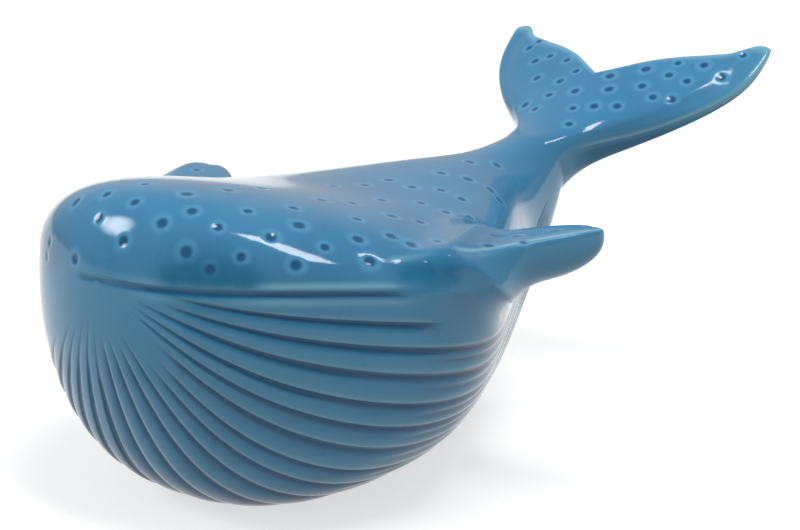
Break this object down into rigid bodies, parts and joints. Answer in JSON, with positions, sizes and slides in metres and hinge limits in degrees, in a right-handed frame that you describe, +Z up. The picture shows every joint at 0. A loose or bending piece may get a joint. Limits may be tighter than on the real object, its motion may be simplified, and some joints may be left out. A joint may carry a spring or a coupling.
{
  "type": "whale figurine",
  "caption": "Hollow glazed ceramic whale with a pleated throat, dimpled back, paddle flippers and raised tail flukes, standing on a flat foot.",
  "frame": {"origin": "centre of the flat foot that the whale rests on", "axes": "+Y runs from the nose to the tail, +Z up, +X towards the whale's left side"},
  "size_m": [0.1376, 0.2151, 0.0951],
  "materials": {
    "blue_glaze": "glossy translucent blue glaze, darker in the carving",
    "fired_slip": "matt fired clay"
  },
  "bodies": {
    "root": {"body_shell": "blue_glaze", "left_flipper": "blue_glaze", "right_flipper": "blue_glaze", "tail_flukes": "blue_glaze", "left_flipper_slip": "fired_slip", "right_flipper_slip": "fired_slip", "tail_slip": "fired_slip"}
  },
  "joints": []
}
